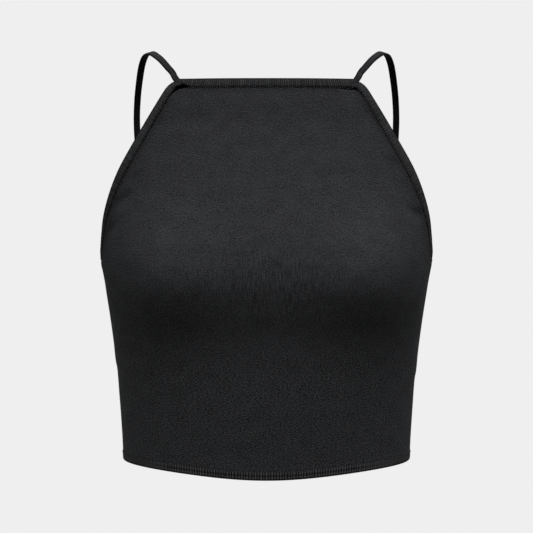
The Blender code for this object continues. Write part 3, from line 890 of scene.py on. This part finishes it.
def stitch_row(name, angles, drops, lift, stitch, seed, material, slot):
    """Short thread stitches at places on the skin, each lying along the row, as one joined mesh."""
    bpy.ops.mesh.primitive_ico_sphere_add(subdivisions=2, radius=1.0)
    row = bpy.context.object
    row.name = row.data.name = name
    ball = np.array([vertex.co for vertex in row.data.vertices])
    faces = np.array([face.vertices for face in row.data.polygons])
    count = len(angles)
    wander = np.random.default_rng(seed).uniform(-1, 1, (count, 3))
    centre = lifted(angles, drops, lift)
    out = skin_normal(angles, drops)
    ahead = normalised(np.gradient(centre, axis=0))
    ahead = normalised(ahead - out * dot(ahead, out)[:, None])
    aside = np.cross(out, ahead)
    lean = np.radians(stitch.lean + LEAN_WANDER * wander[:, 0])[:, None]
    along = ahead * np.cos(lean) + aside * np.sin(lean)
    across = aside * np.cos(lean) - ahead * np.sin(lean)
    size = 1 + SIZE_WANDER * wander[:, 1:2]
    centre = centre + across * (stitch.stray * wander[:, 2:3])
    places = (
        centre[:, None]
        + ball[:, 0:1] * (along * size * stitch.length / 2)[:, None]
        + ball[:, 1:2] * (across * size * stitch.width / 2)[:, None]
        + ball[:, 2:3] * (out * stitch.height / 2)[:, None]
    )
    corners = faces[None] + (len(ball) * np.arange(count))[:, None, None]
    mesh = bpy.data.meshes.new(name)
    mesh.from_pydata(places.reshape(-1, 3), [], corners.reshape(-1, 3).tolist())
    row.data = mesh
    bpy.ops.object.shade_smooth()
    finish_piece(row, material, slot)


def make_stitches(material):
    """Dark thread where the pieces are sewn: a jagged row in each seam's ditch, partly real stitching and
    partly painted shade of the ditch, needle holes at the hem as dark dots of painted shade, and a short row
    of dots as painted shadow in the gap under the left neck corner.
    """
    def seam_row(name, seam, row):
        angles, _ = paced_angles(seam, row.first, row.last, row.pitch, steps=1)
        angles, drops = band_edges(angles, seam, -row.inset)
        stitch_row(name, angles, drops, row.lift, row.stitch, row.seed, material, row.slot)

    seam_row("neck_seam_stitches_and_shade", level_line(NECK_SEAM_DROP), NECK_ROW)
    seam_row("armhole_seam_stitches_and_shade_left", front_seam_drop, LEFT_ARM_ROW)
    seam_row("armhole_seam_stitches_and_shade_right", front_seam_drop, RIGHT_ARM_ROW)
    share = np.linspace(0.0, 1.0, CORNER_SHADOW_DOTS)
    angles = CORNER_ROW_ANGLE + CORNER_ROW_TURN * share
    drops = CORNER_ROW_DROP + CORNER_ROW_FALL * share ** CORNER_ROW_BEND
    stitch_row(
        "neck_corner_painted_shadow", angles, drops, CORNER_ROW_LIFT, CORNER_SHADOW_DOT, CORNER_ROW_SEED,
        material, "band_jersey",
    )
    seam_row("back_seam_stitches_and_shade", back_seam_drop, BACK_ROW)
    seam_row("front_hem_needle_hole_shade", hem_seam_drop, FRONT_HEM_ROW)
    seam_row("back_hem_needle_hole_shade", hem_seam_drop, BACK_HEM_ROW)


# ---- materials ----

THREAD_ROUGHNESS = 0.7
THREAD_GLOSS = 0.2
CLOTH_GLOSS = 0.02  # the jersey's loops scatter nearly all that they reflect


def linear(hex_colour):
    """An sRGB hex colour as linear red, green, blue and alpha."""
    parts = [int(hex_colour[i:i + 2], 16) / 255 for i in (1, 3, 5)]
    return [p / 12.92 if p <= 0.04045 else ((p + 0.055) / 1.055) ** 2.4 for p in parts] + [1.0]


def node(tree, kind, settings=(), **links):
    """Add a shader node: settings are its own properties, links give its inputs a socket or a value."""
    made = tree.nodes.new("ShaderNode" + kind)
    for key, value in dict(settings).items():
        setattr(made, key, value)
    for key, value in links.items():
        socket = made.inputs[int(key[1:])] if key[0] == "i" and key[1:].isdigit() else made.inputs[key]
        if isinstance(value, bpy.types.NodeSocket):
            tree.links.new(value, socket)
        else:
            socket.default_value = value
    return made


def new_material(name, roughness, gloss):
    material = bpy.data.materials.new(name)
    material.use_nodes = True
    shader = material.node_tree.nodes["Principled BSDF"].inputs
    shader["Roughness"].default_value = roughness
    shader["Specular IOR Level"].default_value = gloss
    return material, material.node_tree, shader


def thread(name, colour):
    """Spun polyester sewing thread, dyed black: darker than the cloth, with a faint sheen. Its rows also
    stand in for shade as painted shade: in the seams' ditches, at the hem's needle holes and under the left
    neck corner.
    """
    material, _, shader = new_material(name, THREAD_ROUGHNESS, THREAD_GLOSS)
    shader["Base Color"].default_value = linear(colour)
    return material


# Layers of lighter and darker places in the knit: their size, finer detail, the span of the noise that
# counts, and how far it darkens and lightens. Sizes are in metres, those of loops and dashes in the knit's
# grain. Real loops are 0.5 mm apart and real wales 0.7 mm: both are coarser here, so that they show.
Layer = namedtuple("Layer", "wide tall detail low high darken lighten")
LOOPS = Layer(1.1, 1.0, 1.0, 0.28, 0.72, -0.75, 0.75)
CLUMPS = Layer(0.0038, 0.0026, 1.0, 0.3, 0.7, -0.13, 0.13)
CLOUDS = Layer(0.016, 0.012, 1.0, 0.3, 0.7, -0.12, 0.12)
DASHES = Layer(2.1, 0.6, 0.0, 0.35, 0.75, -0.48, 0.9)
WALES = Layer(0.001, 0.01, 0.0, 0.3, 0.7, -0.42, 0.42)
LOOPS_IN_LOOSE = 1.15  # the loops show more in slack cloth, less in stretched
LOOPS_IN_STRETCH = 0.75
SHADE_REACH = 1.12  # the dark and the light shade lie this far from the middle
LOOP_RELIEF = 0.0004  # how far the loops stand out
# the colour of the painted shade beside the panels' seams, in their ditches and in the drawn-in corners
PAINTED_SHADE = "#0c0c0d"


def jersey(name, dark, light, relief, groove=None, inner=None, grain=0.001, roughness=0.88):
    """Cotton and elastane jersey, piece-dyed charcoal: matt and dry, with a fine heather of lighter and
    darker loops. Where it is slack they draw out into level dashes, and where it is tight its wales open
    into thin upright lines. Shade is painted into its colour: a trim is painted darker in its grooves and
    towards its edges, a strap at its edges, over the shoulder and on its inner face, and a sheet beside its
    seams and in the deep folds at the neck corners. The patterns read the UV map, which is in metres of
    cloth."""
    material, tree, shader = new_material(name, roughness, CLOTH_GLOSS)
    cloth = node(tree, "UVMap", {"uv_map": "UVMap"}).outputs["UV"]

    def spread(value, low, high, to_low, to_high):
        made = node(tree, "MapRange", Value=value, i1=low, i2=high, i3=to_low, i4=to_high)
        return made.outputs["Result"]

    def patches(layer, unit=1.0):
        scale = (1 / (unit * layer.wide), 1 / (unit * layer.tall), 1.0)
        place = node(tree, "Mapping", Vector=cloth, Scale=scale).outputs["Vector"]
        made = node(tree, "TexNoise", Vector=place, Scale=1.0, Detail=layer.detail)
        return spread(made.outputs["Fac"], layer.low, layer.high, layer.darken, layer.lighten)

    def combine(kind, a, b):
        return node(tree, "Math", {"operation": kind}, i0=a, i1=b).outputs[0]

    def blend(share, low, high):
        return node(tree, "Mix", {"data_type": "RGBA"}, i0=share, i6=low, i7=high).outputs[2]

    def attribute(mark_name):
        return node(tree, "Attribute", {"attribute_name": mark_name}).outputs["Fac"]

    loose, stretch = attribute("loose"), attribute("stretch")
    shade = patches(LOOPS, grain)
    shade = combine("MULTIPLY", shade, spread(loose, 0.0, 1.0, 1.0, LOOPS_IN_LOOSE))
    shade = combine("MULTIPLY", shade, spread(stretch, 0.0, 1.0, 1.0, LOOPS_IN_STRETCH))
    shade = combine("ADD", shade, patches(CLUMPS))
    shade = combine("ADD", shade, patches(CLOUDS))
    shade = combine("ADD", shade, combine("MULTIPLY", patches(DASHES, grain), loose))
    shade = combine("ADD", shade, combine("MULTIPLY", patches(WALES), stretch))
    colour = blend(spread(shade, -SHADE_REACH, SHADE_REACH, 0.0, 1.0), linear(dark), linear(light))
    # painted shade: the rib mark blends towards this darker colour in the ribs' grooves, at a trim's edges
    # and on a strap's edges and over its shoulder
    if groove:
        colour = blend(attribute("rib"), linear(groove), colour)
    else:
        # painted shade beside the seams, in their ditches and in the drawn-in corners
        colour = blend(attribute("crease"), colour, linear(PAINTED_SHADE))
    # painted shade: a strap's inner face is coloured darker, as it lies in shadow
    if inner:
        colour = blend(attribute("inner_face"), colour, linear(inner))
    tree.links.new(colour, shader["Base Color"])
    surface = node(tree, "Bump", Height=shade, Strength=relief, Distance=LOOP_RELIEF)
    tree.links.new(surface.outputs["Normal"], shader["Normal"])
    return material


# ---- the studio ----

BACKDROP = "#efefef"
FLOOR_DROP = 1.3  # a wearer's shoulders are this high above the floor
FLOOR_RADIUS = 1.6
FLOOR_SIDES = 96
FLOOR_SEEN = "#d6d6d6"  # the floor as it is seen, and the darker shade of its reflected light
FLOOR_BOUNCE = "#262626"
FLOOR_ROUGHNESS = 0.9
FLOOR_GLOSS = 0.5

CAMERA_BACK = 1.4
CAMERA_DROP = 0.198
FRAME_WIDTH = 0.493  # what the camera sees across at the side seams' plane
SENSOR = 36.0

Lamp = namedtuple("Lamp", "name elevation azimuth distance size power")
LAMPS = (
    Lamp("overhead_softbox", 75, 9, 2.2, 1.3, 41),
    Lamp("side_softbox", 62, 108, 2.2, 0.9, 17),
    Lamp("rear_softbox", 48, 190, 2.2, 1.3, 26),
)
LIT_POINT = (0.0, -0.06, -CAMERA_DROP)  # the lamps point behind the bust
SKY = 0.67  # soft light from the studio's white ceiling, none of it from below
SKY_FROM = -0.05  # it fades in between these heights of a direction above level
SKY_FULL = 0.1


def put(name, data, location, rotation):
    """Put a lamp or a camera in the scene."""
    holder = bpy.data.objects.new(name, data)
    bpy.context.scene.collection.objects.link(holder)
    holder.location = location
    holder.rotation_euler = rotation
    return holder


def make_lamps():
    for lamp in LAMPS:
        light = bpy.data.lights.new(lamp.name, "AREA")
        light.energy = lamp.power
        light.size = lamp.size
        up, around = math.radians(lamp.elevation), math.radians(lamp.azimuth)
        way = np.array((math.sin(around) * math.cos(up), -math.cos(around) * math.cos(up), math.sin(up)))
        location = np.array(LIT_POINT) + lamp.distance * way
        put(lamp.name, light, location, (math.radians(90) - up, 0.0, around))


def make_surroundings():
    """A pale backdrop to the eye, and a white ceiling's light on the cloth."""
    world = bpy.data.worlds.new("studio")
    bpy.context.scene.world = world
    world.use_nodes = True
    tree = world.node_tree
    tree.nodes.clear()
    ray = node(tree, "LightPath").outputs
    seen = node(
        tree, "Math", {"operation": "MAXIMUM"}, i0=ray["Is Camera Ray"], i1=ray["Is Glossy Ray"],
    )
    way = node(tree, "TexCoord").outputs["Generated"]
    height = node(tree, "SeparateXYZ", Vector=way).outputs["Z"]
    sky = node(tree, "MapRange", Value=height, i1=SKY_FROM, i2=SKY_FULL, i3=0.0, i4=SKY)
    ambient = node(tree, "Background", Color=(1, 1, 1, 1), Strength=sky.outputs["Result"])
    backdrop = node(tree, "Background", Color=linear(BACKDROP), Strength=1.0)
    mixed = node(
        tree, "MixShader", i0=seen.outputs[0], i1=ambient.outputs[0], i2=backdrop.outputs[0],
    )
    output = node(tree, "OutputWorld")
    tree.links.new(mixed.outputs[0], output.inputs["Surface"])


def make_floor():
    """A matt painted floor, far below the garment: pale to the eye, with a faint reflected light."""
    bpy.ops.mesh.primitive_circle_add(
        vertices=FLOOR_SIDES, radius=FLOOR_RADIUS, fill_type="NGON", location=(0, 0, -FLOOR_DROP),
    )
    floor = bpy.context.object
    floor.name = "floor"
    material, tree, shader = new_material("painted_studio_floor", FLOOR_ROUGHNESS, FLOOR_GLOSS)
    seen = node(tree, "LightPath").outputs["Is Camera Ray"]
    paint = node(
        tree, "Mix", {"data_type": "RGBA"}, i0=seen, i6=linear(FLOOR_BOUNCE), i7=linear(FLOOR_SEEN),
    )
    tree.links.new(paint.outputs[2], shader["Base Color"])
    floor.data.materials.append(material)


def make_camera():
    data = bpy.data.cameras.new("camera")
    data.sensor_width = SENSOR
    data.lens = SENSOR * CAMERA_BACK / FRAME_WIDTH
    location = (0.0, -CAMERA_BACK, -CAMERA_DROP)
    bpy.context.scene.camera = put("camera", data, location, (math.radians(90), 0.0, 0.0))


# ---- the whole ----

body_knit = jersey("charcoal_cotton_jersey", "#0f0f10", "#4b4c4e", relief=0.4, roughness=0.9)
# The darker colours given after the light ones are painted shade in grooves and at edges, and the strap's
# inner colour is painted shade on its inner face.
band_knit = jersey("charcoal_folded_binding", "#232425", "#5c5d5f", relief=0.45, groove="#1a1a1b")
strap_knit = jersey(
    "charcoal_tubular_strap", "#1c1d1e", "#3b3c3e", relief=0.5, groove="#0c0c0d", inner="#1c1c1e",
)
hem_knit = jersey(
    "charcoal_overlocked_hem", "#606164", "#8a8b8e", relief=0.4, groove="#161617", grain=0.0009,
)

front, back = make_panels(body_knit)
neck_band = make_neck_band(band_knit)
back_band = make_back_band(band_knit)
for side_name, side in (("left", 1), ("right", -1)):
    make_armhole_band(side_name, side, band_knit)
    make_strap(side_name, side, strap_knit)
front_hem = make_hem("front_hem", 0, hem_knit)
back_hem = make_hem("back_hem", 180, hem_knit)
make_stitches(thread("black_thread_and_painted_shade", "#0c0c0d"))

make_lamps()
make_surroundings()
make_floor()
make_camera()
bpy.context.scene.view_settings.view_transform = "Standard"
